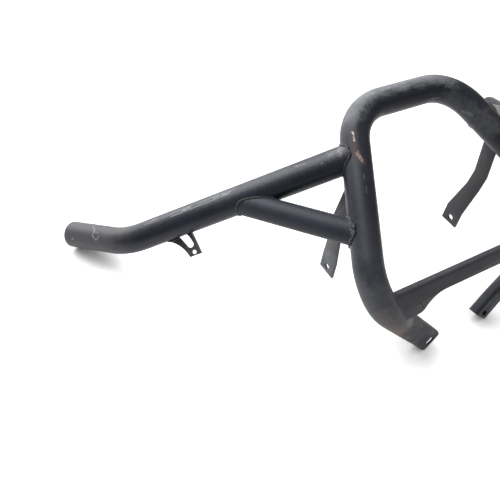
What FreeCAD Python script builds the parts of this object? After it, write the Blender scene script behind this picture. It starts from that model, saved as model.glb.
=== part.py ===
import FreeCAD, Part
import math
import os

# Front bumper of a side-by-side: a bent tube hoop, two swept-back wing tubes with braces,
# two flat-bar mounting straps, a folded cross plate, two stamped wing tabs and the weld beads.
#
# The pieces are drawn upright, as the bumper sits on the vehicle: X across, Y to the rear, Z up,
# with the origin at the middle of the hoop's top run. At the end everything is leaned back
# together until the toes and the wing ends stand on one level, which is how it rests on a floor.
# Right is +X and left is -X, as seen from in front. Sizes are in millimetres.

V = FreeCAD.Vector
ACROSS = V(1, 0, 0)
UPWARD = V(0, 0, 1)

# Tube stock
HOOP_OD = 44.45
WING_OD = 44.45
BRACE_OD = 38.1
TUBE_WALL = 2.4

# Hoop centre line, one side: top corner, knee and toe
TOP_HALF_WIDTH = 99.6
KNEE_HALF_WIDTH = 208.4
KNEE_DROP = 268.0
KNEE_FORWARD = 48.6
TOE_HALF_WIDTH = 57.3
TOE_DROP = 393.4
TOE_BACK = 63.8
TOP_BEND_RADIUS = 81.6
KNEE_BEND_RADIUS = 70.0

# Pressed toe at each lower end of the hoop, with a bolt slot in front and a bolt hole behind
TOE_WIDTH = 42.0
TOE_THICKNESS = 19.0
TOE_CORNER_RADIUS = 6.0
TOE_SET_BACK = 8.0
TOE_PRESSED_LENGTH = 38.0
TOE_TAPER_LENGTH = 115.0
TOE_SLOT_LENGTH = 16.0
TOE_SLOT_WIDTH = 9.0
TOE_SLOT_FROM_END = 9.5

# Wing tubes
WING_DOWN_LEG = 75.7
WING_LENGTH = 389.0
WING_SWEEP = 35.0
WING_END_LENGTH = 126.0
WING_END_SWEEP = 56.4
WING_END_RISE = 23.0
WING_BEND_RADIUS = 108.0

# Brace tubes
BRACE_ALONG_WING = 194.4
BRACE_DOWN_LEG = 200.3

# Mounting straps, flat bar
STRAP_DOWN_LEG = 111.5
STRAP_DIP = 37.9
STRAP_THICKNESS = 4.0
STRAP_WIDTH = 28.0
STRAP_FIRST_FOLD = 97.0
STRAP_SECOND_FOLD = 184.0
STRAP_LENGTH = 218.0
STRAP_SWING_OUT = 19.0
STRAP_TIP_OFFSET = 4.5
STRAP_FLARE_START = 125.0
STRAP_TIP_WIDTH = 36.0
STRAP_TIP_LIFT = 8.0
STRAP_HOLE = 11.0
STRAP_HOLE_FROM_END = 12.5

# Cross plate between the knees, folded sheet
PLATE_THICKNESS = 3.0
PLATE_LEAN = 25.0
PLATE_STANDOFF = 18.0
PLATE_TOP = 14.5
PLATE_HEIGHT = 24.3
PLATE_FLANGE = 12.0
PLATE_FOLD_RADIUS = 4.0
PLATE_END_INSET = 4.2
PLATE_EAR_DROP = 21.0
PLATE_EAR_WIDTH = 59.0
PLATE_EAR_BLEND = 42.0
PLATE_EAR_CORNER = 5.0
PLATE_EAR_CUT = 22.0
PLATE_END_HEIGHT = 14.0

# Stamped tabs under the wing tubes
TAB_START = 281.0
TAB_BASE = 41.0
TAB_REACH = 58.0
TAB_TIP_SHIFT = -4.5
TAB_TIP_WIDTH = 19.5
TAB_SHEET = 2.5
TAB_FLANGE = 8.0
TAB_HOLE = 7.0
TAB_HOLE_FROM_TIP = 5.6
TAB_WINDOW_FROM_TIP = 14.0
TAB_WINDOW_RADIUS = 5.8
TAB_WINDOW_SHARE = 0.62
TAB_INNER_LEG = 11.5
TAB_OUTER_LEG = 11.0
TAB_HOLLOW = 7.0

# Welds, tube ends at a leg (distance from the leg's axis), and the reach of cuts past a face
WELD_LEG = 2.5
COPE_START = 8.0
BRACE_WELD_START = 10.0
OVERRUN = 5.0

# How closely the resting lean is found, in degrees
LEAN_TOLERANCE = 1e-9

HOOP_R = HOOP_OD / 2
WING_R = WING_OD / 2
BRACE_R = BRACE_OD / 2


def unit(vector):
    """Return the vector scaled to length one."""
    return V(vector) / vector.Length


def bend_at(before, corner, after, radius):
    """Return start, middle and end of the tangent arc that rounds a corner."""
    inward = unit(before - corner)
    outward = unit(after - corner)
    half = inward.getAngle(outward) / 2
    setback = radius / math.tan(half)
    centre = corner + unit(inward + outward) * (radius / math.sin(half))
    middle = centre - unit(inward + outward) * radius
    return corner + inward * setback, middle, corner + outward * setback


def bent_wire(points, radii):
    """Return a wire of straight runs joined by tangent arcs at the inner points."""
    edges = []
    here = points[0]
    for index, radius in enumerate(radii, start=1):
        start, middle, end = bend_at(points[index - 1], points[index], points[index + 1], radius)
        edges.append(Part.LineSegment(here, start).toShape())
        edges.append(Part.Arc(start, middle, end).toShape())
        here = end
    edges.append(Part.LineSegment(here, points[-1]).toShape())
    return Part.Wire(edges)


def round_bar(points, radii, radius):
    """Return a solid round bar along a bent centre line."""
    heading = unit(points[1] - points[0])
    profile = Part.Wire([Part.makeCircle(radius, points[0], heading)])
    return bent_wire(points, radii).makePipeShell([profile], True, False)


def straight_bar(start, end, radius):
    """Return a solid round bar between two points."""
    return Part.makeCylinder(radius, (end - start).Length, start, end - start)


def prism(points, direction):
    """Return the solid swept by a flat polygon along a direction."""
    face = Part.Face(Part.makePolygon(points + [points[0]]))
    return face.extrude(direction)


def obround(centre, long_axis, cut_axis, length, width, depth):
    """Return a slot cutter: two round ends and the block between them."""
    cut = unit(cut_axis)
    side = unit(cut.cross(long_axis)) * (width / 2)
    reach = unit(long_axis) * ((length - width) / 2)
    base = centre - cut * (depth / 2)
    corners = [base + reach + side, base - reach + side, base - reach - side, base + reach - side]
    cutter = prism(corners, cut * depth)
    for end in (base + reach, base - reach):
        cutter = cutter.fuse(Part.makeCylinder(width / 2, depth, end, cut))
    return cutter.removeSplitter()


def mirrored(shape):
    """Return the left-hand twin of a right-hand shape."""
    return shape.mirror(V(0, 0, 0), ACROSS)


def flip(point):
    """Return the left-hand twin of a right-hand point."""
    return V(-point.x, point.y, point.z)


# Hoop points on the right-hand side
TOP = V(TOP_HALF_WIDTH, 0, 0)
KNEE = V(KNEE_HALF_WIDTH, -KNEE_FORWARD, -KNEE_DROP)
TOE = V(TOE_HALF_WIDTH, TOE_BACK, -TOE_DROP)
LEG = unit(KNEE - TOP)
RUN = unit(TOE - KNEE)
TOE_FACE = unit(ACROSS.cross(RUN))
TOE_SIDE = TOE_FACE.cross(RUN)
TAPER_START = TOE - RUN * (TOE_PRESSED_LENGTH + TOE_TAPER_LENGTH)
TOE_END = TOE + TOE_FACE * TOE_SET_BACK
PRESSED_START = TOE_END - RUN * TOE_PRESSED_LENGTH


def pressed_corners(width, thickness, corner):
    """Return the eight tangent points of a rounded rectangle, in order round it."""
    half = V(width / 2, thickness / 2, 0)
    inset = V(width / 2 - corner, thickness / 2 - corner, 0)
    quarter = [(half.x, inset.y), (inset.x, half.y)]
    points = []
    for sign_x, sign_y in ((1, 1), (-1, 1), (-1, -1), (1, -1)):
        pair = [(sign_x * x, sign_y * y) for x, y in quarter]
        points += pair if sign_x * sign_y > 0 else pair[::-1]
    return points


def pressed_wire(centre, width, thickness, corner):
    """Return the rounded-rectangle section of a pressed toe as four arcs and four lines."""
    points = [centre + TOE_SIDE * x + TOE_FACE * y for x, y in pressed_corners(width, thickness, corner)]
    edges = []
    for index in range(0, 8, 2):
        first, second, third = points[index], points[index + 1], points[(index + 2) % 8]
        pivot_x = width / 2 - corner
        pivot_y = thickness / 2 - corner
        sign_x = 1 if (first - centre).dot(TOE_SIDE) > 0 else -1
        sign_y = 1 if (first - centre).dot(TOE_FACE) > 0 else -1
        pivot = centre + TOE_SIDE * (sign_x * pivot_x) + TOE_FACE * (sign_y * pivot_y)
        apex = pivot + unit((first + second) * 0.5 - pivot) * corner
        edges.append(Part.Arc(first, apex, second).toShape())
        edges.append(Part.LineSegment(second, third).toShape())
    return Part.Wire(edges)


def round_wire(centre, radius, width, thickness, corner):
    """Return a circle split into eight arcs that face the edges of a pressed section."""
    turns = [math.atan2(y, x) for x, y in pressed_corners(width, thickness, corner)]
    turns = [turn if turn >= turns[0] else turn + 2 * math.pi for turn in turns]
    turns.append(turns[0] + 2 * math.pi)

    def on_circle(turn):
        return centre + TOE_SIDE * (radius * math.cos(turn)) + TOE_FACE * (radius * math.sin(turn))

    edges = []
    for start, end in zip(turns[:-1], turns[1:]):
        arc = Part.Arc(on_circle(start), on_circle((start + end) / 2), on_circle(end))
        edges.append(arc.toShape())
    return Part.Wire(edges)


def toe_end(inset, overrun):
    """Return the tapered and pressed end of the hoop, shrunk by an inset on every side."""
    width = TOE_WIDTH - 2 * inset
    thickness = TOE_THICKNESS - 2 * inset
    corner = TOE_CORNER_RADIUS - inset
    circle = round_wire(TAPER_START, HOOP_R - inset, width, thickness, corner)
    pressed = pressed_wire(PRESSED_START, width, thickness, corner)
    taper = Part.makeLoft([circle, pressed], True, True)
    straight = Part.Face(pressed).extrude(RUN * (TOE_PRESSED_LENGTH + overrun))
    return taper.fuse(straight)


def hoop_bar(grow):
    """Return the hoop's round part as a solid bar, its radius changed by grow."""
    points = [flip(TAPER_START), flip(KNEE), flip(TOP), TOP, KNEE, TAPER_START]
    radii = [KNEE_BEND_RADIUS, TOP_BEND_RADIUS, TOP_BEND_RADIUS, KNEE_BEND_RADIUS]
    return round_bar(points, radii, HOOP_R + grow)


def hoop_body(inset, overrun):
    """Return the whole hoop as a solid bar with pressed toes, shrunk by an inset on every side."""
    toe = toe_end(inset, overrun)
    return hoop_bar(-inset).multiFuse([toe, mirrored(toe)]).removeSplitter()


def main_hoop(hoop_solid):
    """Return the bent hoop tube with pressed, slotted and open toes."""
    front = TOE_END - RUN * TOE_SLOT_FROM_END - TOE_FACE * (TOE_THICKNESS / 2)
    slot = obround(front, TOE_SIDE, TOE_FACE, TOE_SLOT_LENGTH, TOE_SLOT_WIDTH, TOE_THICKNESS)
    hole = Part.makeCylinder(TOE_SLOT_WIDTH / 2, TOE_THICKNESS + OVERRUN, front, TOE_FACE)
    hoop = hoop_solid.cut(hoop_body(TUBE_WALL, OVERRUN))
    return hoop.cut([slot, mirrored(slot), hole, mirrored(hole)])


# Wing points on the right-hand side
WING_ROOT = TOP + LEG * WING_DOWN_LEG
WING_RUN = V(math.cos(math.radians(WING_SWEEP)), math.sin(math.radians(WING_SWEEP)), 0)
WING_CORNER = WING_ROOT + WING_RUN * WING_LENGTH
END_FLAT = math.cos(math.radians(WING_END_RISE))
WING_END_RUN = V(
    END_FLAT * math.cos(math.radians(WING_END_SWEEP)),
    END_FLAT * math.sin(math.radians(WING_END_SWEEP)),
    math.sin(math.radians(WING_END_RISE)),
)
WING_TIP = WING_CORNER + WING_END_RUN * WING_END_LENGTH


def wing_bar(grow):
    """Return a wing tube's solid bar from beside the leg's axis, its radius changed by grow."""
    start = WING_ROOT + WING_RUN * COPE_START
    return round_bar([start, WING_CORNER, WING_TIP], [WING_BEND_RADIUS], WING_R + grow)


def wing_tube(hoop_solid):
    """Return a wing tube, open at its outer end and coped to the leg."""
    bore_end = WING_TIP + WING_END_RUN * OVERRUN
    start = WING_ROOT + WING_RUN * COPE_START
    bore = round_bar([start, WING_CORNER, bore_end], [WING_BEND_RADIUS], WING_R - TUBE_WALL)
    return wing_bar(0).cut(bore).cut(hoop_solid)


# Brace points on the right-hand side
BRACE_AT_WING = WING_ROOT + WING_RUN * BRACE_ALONG_WING
BRACE_AT_LEG = TOP + LEG * BRACE_DOWN_LEG


def brace_tube(hoop_solid, wing_solid):
    """Return a brace tube, coped to the wing tube and to the leg."""
    bar = straight_bar(BRACE_AT_WING, BRACE_AT_LEG, BRACE_R)
    bore = straight_bar(BRACE_AT_WING, BRACE_AT_LEG, BRACE_R - TUBE_WALL)
    return bar.cut(bore).cut([hoop_solid, wing_solid])


# Strap directions on the right-hand side: along the bar, across its width, and sideways
STRAP_RUN = V(0, math.cos(math.radians(STRAP_DIP)), -math.sin(math.radians(STRAP_DIP)))
STRAP_RISE = V(0, math.sin(math.radians(STRAP_DIP)), math.cos(math.radians(STRAP_DIP)))
STRAP_ROOT = TOP + LEG * STRAP_DOWN_LEG
STRAP_HOLE_CENTRE = (
    STRAP_ROOT
    + STRAP_RUN * (STRAP_LENGTH - STRAP_HOLE_FROM_END)
    + STRAP_RISE * STRAP_TIP_LIFT
    + ACROSS * STRAP_TIP_OFFSET
)


def strap_blank(grow):
    """Return the folded flat bar before its end is coped, grown on its faces and edges."""
    half = STRAP_THICKNESS / 2 + grow
    folds = [
        (0, 0),
        (STRAP_FIRST_FOLD, STRAP_SWING_OUT),
        (STRAP_SECOND_FOLD, STRAP_TIP_OFFSET),
        (STRAP_LENGTH, STRAP_TIP_OFFSET),
    ]
    reach = STRAP_TIP_WIDTH + STRAP_TIP_LIFT + grow
    base = STRAP_ROOT - STRAP_RISE * reach
    outline = [base + STRAP_RUN * run + ACROSS * (aside + half) for run, aside in folds]
    outline += [base + STRAP_RUN * run + ACROSS * (aside - half) for run, aside in reversed(folds)]
    bar = prism(outline, STRAP_RISE * (2 * reach))
    edge = STRAP_WIDTH / 2 + grow
    tip = STRAP_TIP_WIDTH / 2 + grow
    contour = [
        (0, edge),
        (STRAP_FLARE_START, edge),
        (STRAP_SECOND_FOLD, STRAP_TIP_LIFT + tip),
        (STRAP_LENGTH, STRAP_TIP_LIFT + tip),
        (STRAP_LENGTH, STRAP_TIP_LIFT - tip),
        (STRAP_SECOND_FOLD, STRAP_TIP_LIFT - tip),
        (STRAP_FLARE_START, -edge),
        (0, -edge),
    ]
    depth = 2 * (STRAP_SWING_OUT + STRAP_THICKNESS + OVERRUN)
    side = STRAP_ROOT - ACROSS * (depth / 2)
    points = [side + STRAP_RUN * run + STRAP_RISE * rise for run, rise in contour]
    return bar.common(prism(points, ACROSS * depth))


def mount_strap(hoop_solid):
    """Return a mounting strap, coped to the back of the leg, with its bolt hole."""
    depth = STRAP_THICKNESS + 2 * OVERRUN
    hole = Part.makeCylinder(STRAP_HOLE / 2, depth, STRAP_HOLE_CENTRE - ACROSS * (depth / 2), ACROSS)
    return strap_blank(0).cut([hoop_solid, hole])


# Cross plate frame: down the sheet, out of its front face, and the middle of its fold line
PLATE_DOWN = V(0, math.sin(math.radians(PLATE_LEAN)), -math.cos(math.radians(PLATE_LEAN)))
PLATE_FRONT = V(0, -math.cos(math.radians(PLATE_LEAN)), -math.sin(math.radians(PLATE_LEAN)))
KNEE_BEND = bend_at(TOP, KNEE, TOE, KNEE_BEND_RADIUS)
PLATE_SEAT = (KNEE_BEND[1] + KNEE_BEND[2]) * 0.5
PLATE_END_HALF = PLATE_SEAT.x - PLATE_END_INSET
PLATE_ORIGIN = V(0, PLATE_SEAT.y, PLATE_SEAT.z) + PLATE_FRONT * PLATE_STANDOFF - PLATE_DOWN * PLATE_TOP


def plate_outline():
    """Return the face of the cross plate: a strip with a rounded ear at each end."""
    low = PLATE_HEIGHT
    ear = PLATE_HEIGHT + PLATE_EAR_DROP
    inner = PLATE_END_HALF - PLATE_EAR_WIDTH
    rise = PLATE_EAR_DROP - PLATE_EAR_CORNER
    radius = (PLATE_EAR_BLEND ** 2 + rise ** 2) / (2 * rise)
    turn = math.asin(PLATE_EAR_BLEND / radius)
    half_sine = math.sin(turn / 2)
    half_cosine = math.cos(turn / 2)
    start = V(inner - PLATE_EAR_BLEND, low, 0)
    middle = start + V(radius * half_sine, radius * (1 - half_cosine), 0)
    end = V(inner, low + rise, 0)
    corner_radius = PLATE_EAR_CORNER / (1 - math.cos(turn))
    foot = V(inner + corner_radius * math.sin(turn), ear, 0)
    knuckle = foot - V(corner_radius * half_sine, corner_radius * (1 - half_cosine), 0)
    tail = V(PLATE_END_HALF - PLATE_EAR_CUT, ear, 0)
    corner = V(PLATE_END_HALF, PLATE_END_HEIGHT, 0)
    right = [
        Part.LineSegment(V(0, low, 0), start).toShape(),
        Part.Arc(start, middle, end).toShape(),
        Part.Arc(end, knuckle, foot).toShape(),
        Part.LineSegment(foot, tail).toShape(),
        Part.LineSegment(tail, corner).toShape(),
        Part.LineSegment(corner, V(PLATE_END_HALF, 0, 0)).toShape(),
    ]
    left = [edge.mirror(V(0, 0, 0), ACROSS) for edge in right]
    top = Part.LineSegment(V(PLATE_END_HALF, 0, 0), V(-PLATE_END_HALF, 0, 0)).toShape()
    return Part.Face(Part.Wire(Part.sortEdges(right + left + [top])[0]))


def on_plate(shape):
    """Return a shape drawn flat (across, down, back) set in the cross plate's place."""
    shape.Placement = FreeCAD.Placement(
        FreeCAD.Matrix(
            1, PLATE_DOWN.x, -PLATE_FRONT.x, PLATE_ORIGIN.x,
            0, PLATE_DOWN.y, -PLATE_FRONT.y, PLATE_ORIGIN.y,
            0, PLATE_DOWN.z, -PLATE_FRONT.z, PLATE_ORIGIN.z,
            0, 0, 0, 1,
        )
    )
    return shape


def is_fold(edge):
    """Tell whether an edge is the outer line of the cross plate's fold."""
    box = edge.BoundBox
    spread = max(abs(box.YMin), abs(box.YMax), abs(box.ZMin), abs(box.ZMax))
    return spread < PLATE_THICKNESS / 2 and box.XLength > PLATE_END_HALF


def cross_plate(hoop_solid):
    """Return the folded cross plate with its ends coped to the hoop."""
    sheet = plate_outline().extrude(V(0, 0, PLATE_THICKNESS))
    flange = Part.makeBox(2 * PLATE_END_HALF, PLATE_THICKNESS, PLATE_FLANGE, V(-PLATE_END_HALF, 0, 0))
    folded = sheet.fuse(flange).removeSplitter()
    folded = folded.makeFillet(PLATE_FOLD_RADIUS, [edge for edge in folded.Edges if is_fold(edge)])
    return on_plate(folded).cut(hoop_solid)


# Tab directions on the right-hand side: the web hangs under the wing tube's axis
TAB_BACK = UPWARD.cross(WING_RUN)


def on_tab(along, down):
    """Return the point at a place along the wing tube and below its axis."""
    return WING_ROOT + WING_RUN * along - UPWARD * down


def tab_face():
    """Return the tab's outline: straight on the hoop's side, hollowed on the outer side."""
    top = WING_R / 2
    inner_tip = TAB_START + TAB_TIP_SHIFT
    outer_tip = inner_tip + TAB_TIP_WIDTH
    outer_base = TAB_START + TAB_BASE
    waist = on_tab(outer_tip + TAB_HOLLOW, (WING_R + TAB_REACH) / 2)
    edges = [
        Part.LineSegment(on_tab(TAB_START, top), on_tab(inner_tip, TAB_REACH)).toShape(),
        Part.LineSegment(on_tab(inner_tip, TAB_REACH), on_tab(outer_tip, TAB_REACH)).toShape(),
        Part.Arc(on_tab(outer_tip, TAB_REACH), waist, on_tab(outer_base, WING_R)).toShape(),
        Part.LineSegment(on_tab(outer_base, WING_R), on_tab(outer_base, top)).toShape(),
        Part.LineSegment(on_tab(outer_base, top), on_tab(TAB_START, top)).toShape(),
    ]
    return Part.Face(Part.Wire(edges))


def tab_window():
    """Return the cutter for the tapered window between the tab's two legs."""
    middle = TAB_START + TAB_TIP_SHIFT + TAB_TIP_WIDTH * TAB_WINDOW_SHARE
    foot = TAB_REACH - TAB_WINDOW_FROM_TIP - TAB_WINDOW_RADIUS
    base = on_tab(middle, foot) - TAB_BACK * OVERRUN
    depth = TAB_BACK * (TAB_SHEET + 2 * OVERRUN)
    corners = [
        on_tab(middle - TAB_WINDOW_RADIUS, foot),
        on_tab(TAB_START + TAB_INNER_LEG, 0),
        on_tab(TAB_START + TAB_BASE - TAB_OUTER_LEG, 0),
        on_tab(middle + TAB_WINDOW_RADIUS, foot),
    ]
    wedge = prism([corner - TAB_BACK * OVERRUN for corner in corners], depth)
    return wedge.fuse(Part.makeCylinder(TAB_WINDOW_RADIUS, depth.Length, base, TAB_BACK))


TAB_HOLE_CENTRE = on_tab(TAB_START + TAB_TIP_SHIFT + TAB_TIP_WIDTH / 2, TAB_REACH - TAB_HOLE_FROM_TIP)


def wing_tab(wing_solid):
    """Return a stamped tab: a web with a window and a hole, and two folded side flanges."""
    face = tab_face()
    body = face.extrude(TAB_BACK * TAB_FLANGE)
    web = face.extrude(TAB_BACK * TAB_SHEET).cut(tab_window())
    flanges = []
    for side in (-1, 1):
        core = body.copy()
        core.translate(WING_RUN * (side * TAB_SHEET))
        flanges.append(body.cut(core))
    start = TAB_HOLE_CENTRE - TAB_BACK * OVERRUN
    hole = Part.makeCylinder(TAB_HOLE / 2, TAB_FLANGE + 2 * OVERRUN, start, TAB_BACK)
    return web.multiFuse(flanges).removeSplitter().cut([wing_solid, hole])


def weld_beads(hoop_solid, wing_solid):
    """Return the right-hand weld beads, each filling the corner where two pieces meet."""
    hoop_skin = hoop_bar(WELD_LEG).cut(hoop_solid)
    wing_skin = wing_bar(WELD_LEG).cut(wing_solid)
    brace_end = BRACE_AT_LEG + unit(BRACE_AT_WING - BRACE_AT_LEG) * BRACE_WELD_START
    brace_bar = straight_bar(BRACE_AT_WING, brace_end, BRACE_R)
    brace_skin = straight_bar(BRACE_AT_WING, brace_end, BRACE_R + WELD_LEG).cut(brace_bar)
    strap_skin = strap_blank(WELD_LEG).cut(strap_blank(0))
    plate_skin = on_plate(plate_outline().extrude(V(0, 0, -WELD_LEG)))
    tab_skin = tab_face().extrude(TAB_BACK * -WELD_LEG).cut(tab_window())
    right_half = Part.makeBox(KNEE_HALF_WIDTH, TOE_DROP, TOE_DROP, V(0, -TOE_DROP / 2, -TOE_DROP))
    wing_weld = hoop_skin.common(wing_skin)
    return {
        "wing_to_hoop_weld": wing_weld,
        "brace_to_hoop_weld": hoop_skin.common(brace_skin),
        "brace_to_wing_weld": wing_skin.common(brace_skin),
        "strap_to_hoop_weld": hoop_skin.common(strap_skin).cut([wing_weld, wing_solid]),
        "plate_to_hoop_weld": hoop_skin.common(plate_skin).common(right_half),
        "tab_to_wing_weld": wing_skin.common(tab_skin),
    }


def leaned_back(degrees):
    """Return the rotation that leans the bumper back about the X axis."""
    return FreeCAD.Rotation(ACROSS, -degrees)


def lowest(discs, degrees):
    """Return the lowest level of some discs (centre, radius, axis) after leaning back."""
    rotation = leaned_back(degrees)
    levels = []
    for centre, radius, axis in discs:
        level = rotation.multVec(centre).z
        tilt = rotation.multVec(axis).z
        levels.append(level - radius * math.sqrt(1 - tilt * tilt))
    return min(levels)


def resting_lean():
    """Return the lean in degrees at which toes and wing ends are equally low, and that level."""
    inset_x = TOE_WIDTH / 2 - TOE_CORNER_RADIUS
    inset_y = TOE_THICKNESS / 2 - TOE_CORNER_RADIUS
    toe = []
    for sign_x in (-1, 1):
        for sign_y in (-1, 1):
            pivot = TOE_END + TOE_SIDE * (sign_x * inset_x) + TOE_FACE * (sign_y * inset_y)
            toe.append((pivot, TOE_CORNER_RADIUS, RUN))
    wing = [(WING_TIP, WING_R, WING_END_RUN)]
    upright, flat = 0.0, 90.0
    while flat - upright > LEAN_TOLERANCE:
        middle = (upright + flat) / 2
        if lowest(wing, middle) > lowest(toe, middle):
            upright = middle
        else:
            flat = middle
    return upright, lowest(toe, upright)


os.makedirs("parts", exist_ok=True)
hoop_solid = hoop_body(0, 0)
wing_solid = wing_bar(0)
right_hand = {
    "wing_tube": wing_tube(hoop_solid),
    "brace_tube": brace_tube(hoop_solid, wing_solid),
    "mount_strap": mount_strap(hoop_solid),
    "wing_tab": wing_tab(wing_solid),
}
right_hand.update(weld_beads(hoop_solid, wing_solid))
pieces = {"main_hoop": main_hoop(hoop_solid), "cross_plate": cross_plate(hoop_solid)}
for name, shape in right_hand.items():
    pieces["right_" + name] = shape
    pieces["left_" + name] = mirrored(shape)

lean, floor = resting_lean()
for shape in pieces.values():
    shape.rotate(V(0, 0, 0), ACROSS, -lean)
boxes = [shape.optimalBoundingBox() for shape in pieces.values()]
middle = (min(box.YMin for box in boxes) + max(box.YMax for box in boxes)) / 2
for name, shape in pieces.items():
    shape.translate(V(0, -middle, -floor))
    shape.exportStep("parts/" + name + ".step")
print("leaned back by", lean, "degrees, moved by", -middle, -floor)
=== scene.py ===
"""Dressed scene of a welded tube front bumper that rests on its toes and wing ends."""

import logging
import math
import random
from dataclasses import dataclass
from enum import Enum
from typing import Any, Iterable

import bpy
from mathutils import Matrix, Vector


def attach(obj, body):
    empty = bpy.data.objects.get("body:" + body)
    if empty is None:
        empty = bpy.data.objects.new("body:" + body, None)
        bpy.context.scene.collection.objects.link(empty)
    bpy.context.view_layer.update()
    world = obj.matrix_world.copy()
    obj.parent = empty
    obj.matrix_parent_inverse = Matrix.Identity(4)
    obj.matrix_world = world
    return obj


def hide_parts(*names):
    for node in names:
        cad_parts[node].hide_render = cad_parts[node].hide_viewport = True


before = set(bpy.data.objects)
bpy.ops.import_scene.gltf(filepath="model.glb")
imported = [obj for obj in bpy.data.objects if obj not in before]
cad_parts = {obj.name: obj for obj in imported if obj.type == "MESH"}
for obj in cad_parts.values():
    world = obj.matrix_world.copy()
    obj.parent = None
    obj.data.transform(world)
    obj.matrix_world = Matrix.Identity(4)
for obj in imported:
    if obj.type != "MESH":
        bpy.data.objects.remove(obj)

Point = tuple[float, float, float]
Span = tuple[float, float]

LOG = logging.getLogger("bumper")
MM = 0.001
BODY = "root"
WHITE = (1.0, 1.0, 1.0, 1.0)
MERGE_GAP = 0.01 * MM
SMOOTH_SHARE = 0.4


class Side(Enum):
    """The two mirrored sides, right being +X as seen from in front."""

    RIGHT = 1
    LEFT = -1

    @property
    def word(self) -> str:
        """Return the side's word in the node names."""
        return self.name.lower()


class Wear(Enum):
    """What a worn place or a painted highlight or shade shows: its colour and its roughness."""

    # rubbed through to the grey undercoat; also painted sheen along the hoop's top run
    SCUFF = ("#94969a", 0.60)
    # knocked through to bright steel that has just begun to redden
    BARE = ("#d6c6c0", 0.42)
    # thin brown rust round a chip
    RUST = ("#5a4842", 0.85)
    # steel half bright and half rusty
    PALE_RUST = ("#a08a81", 0.80)
    # dried mud film, warm and matt
    DIRT = ("#857d79", 0.88)
    # chalked paint and dust, cool and matt; also painted sheen along the hoop's top run
    DUST = ("#7d7f82", 0.75)
    # pinholes and dark spots; also painted shade in gaps and on the toes
    PIT = ("#0f0f12", 0.90)

    @property
    def colour(self) -> str:
        """Return the sRGB colour of the worn place."""
        return self.value[0]

    @property
    def roughness(self) -> float:
        """Return the roughness of the worn place."""
        return self.value[1]


def linear(code: str) -> tuple[float, float, float, float]:
    """Turn an sRGB hex colour into linear RGBA.

    Args:
        code: Six hex digits with a leading hash.

    Returns:
        Linear red, green, blue and an alpha of one.
    """
    values = [int(code[i:i + 2], 16) / 255 for i in (1, 3, 5)]
    parts = [v / 12.92 if v <= 0.04045 else ((v + 0.055) / 1.055) ** 2.4 for v in values]
    return parts[0], parts[1], parts[2], 1.0


def add_node(
    tree: bpy.types.NodeTree,
    kind: str,
    settings: dict[str, Any] | None = None,
    inputs: dict[Any, Any] | None = None,
) -> bpy.types.Node:
    """Add one shader node with its settings, socket values and links.

    Args:
        tree: The material's node tree.
        kind: The node's type name.
        settings: Attributes of the node.
        inputs: Socket name or number to a value, or to the output socket that feeds it.

    Returns:
        The new node.
    """
    node = tree.nodes.new(kind)
    for name, value in (settings or {}).items():
        setattr(node, name, value)
    for key, value in (inputs or {}).items():
        if isinstance(value, bpy.types.NodeSocket):
            tree.links.new(value, node.inputs[key])
        else:
            node.inputs[key].default_value = value
    return node


@dataclass(frozen=True)
class Layout:
    """The joints of the bumper, drawn upright in millimetres and leaned back as it rests."""

    lean: float = 56.4735216
    move_back: float = 64.5067
    lift: float = 287.2247
    top_half_width: float = 99.6
    knee_half_width: float = 208.4
    knee_forward: float = 48.6
    knee_drop: float = 268.0
    hoop_radius: float = 22.225
    wing_radius: float = 22.225
    brace_radius: float = 19.05
    wing_down_leg: float = 75.7
    wing_sweep: float = 35.0
    cope_start: float = 8.0
    brace_along_wing: float = 194.4
    brace_down_leg: float = 200.3
    strap_down_leg: float = 111.5
    strap_dip: float = 37.9
    strap_width: float = 28.0
    strap_thickness: float = 4.0
    plate_lean: float = 25.0

    def place(self, point: Vector) -> Vector:
        """Return an upright point in millimetres where it rests, in metres."""
        return (self.turn(point) + Vector((0, self.move_back, self.lift))) * MM

    def turn(self, direction: Vector) -> Vector:
        """Return an upright direction leaned back as the bumper rests."""
        return Matrix.Rotation(-math.radians(self.lean), 3, "X") @ direction

    def top(self) -> Vector:
        """Return the right top corner of the hoop's centre line, upright."""
        return Vector((self.top_half_width, 0, 0))

    def leg(self) -> Vector:
        """Return the right leg's direction, upright."""
        knee = Vector((self.knee_half_width, -self.knee_forward, -self.knee_drop))
        return (knee - self.top()).normalized()

    def wing_run(self) -> Vector:
        """Return the right wing tube's direction, upright."""
        sweep = math.radians(self.wing_sweep)
        return Vector((math.cos(sweep), math.sin(sweep), 0))

    def wing_root(self) -> Vector:
        """Return where the right wing's axis meets the leg's axis, upright."""
        return self.top() + self.leg() * self.wing_down_leg

    def brace_ends(self) -> tuple[Vector, Vector]:
        """Return the right brace's ends on the wing's axis and on the leg's axis, upright."""
        high = self.wing_root() + self.wing_run() * self.brace_along_wing
        return high, self.top() + self.leg() * self.brace_down_leg

    def plate_inward(self) -> Vector:
        """Return the direction from the cross plate's face into its sheet, as it rests."""
        lean = math.radians(self.plate_lean)
        return self.turn(Vector((0, math.cos(lean), math.sin(lean))))


LAYOUT = Layout()


@dataclass(frozen=True)
class Mark:
    """One worn place, or a painted highlight or shade: a line on the surface in millimetres, with a reach
    round it.

    The cover is how much of the place is worn through, the stretch draws its grain out along the line, and
    the softness fades it out.
    """

    wear: Wear
    start: Point
    end: Point
    reach: float
    cover: float = 0.9
    strength: float = 1.0
    grain: float = 3.0
    stretch: float = 1.0
    soft: float = 0.0


def trail(wear: Wear, points: Iterable[Point], reach: float, **settings: float) -> tuple[Mark, ...]:
    """Return marks that follow a bent line.

    Args:
        wear: What the worn place shows.
        points: The line's corners in millimetres.
        reach: How far the wear reaches from the line.
        settings: The other values of the marks.

    Returns:
        One mark for each stretch of the line.
    """
    corners = list(points)
    return tuple(Mark(wear, start, end, reach, **settings) for start, end in zip(corners, corners[1:]))


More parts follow.
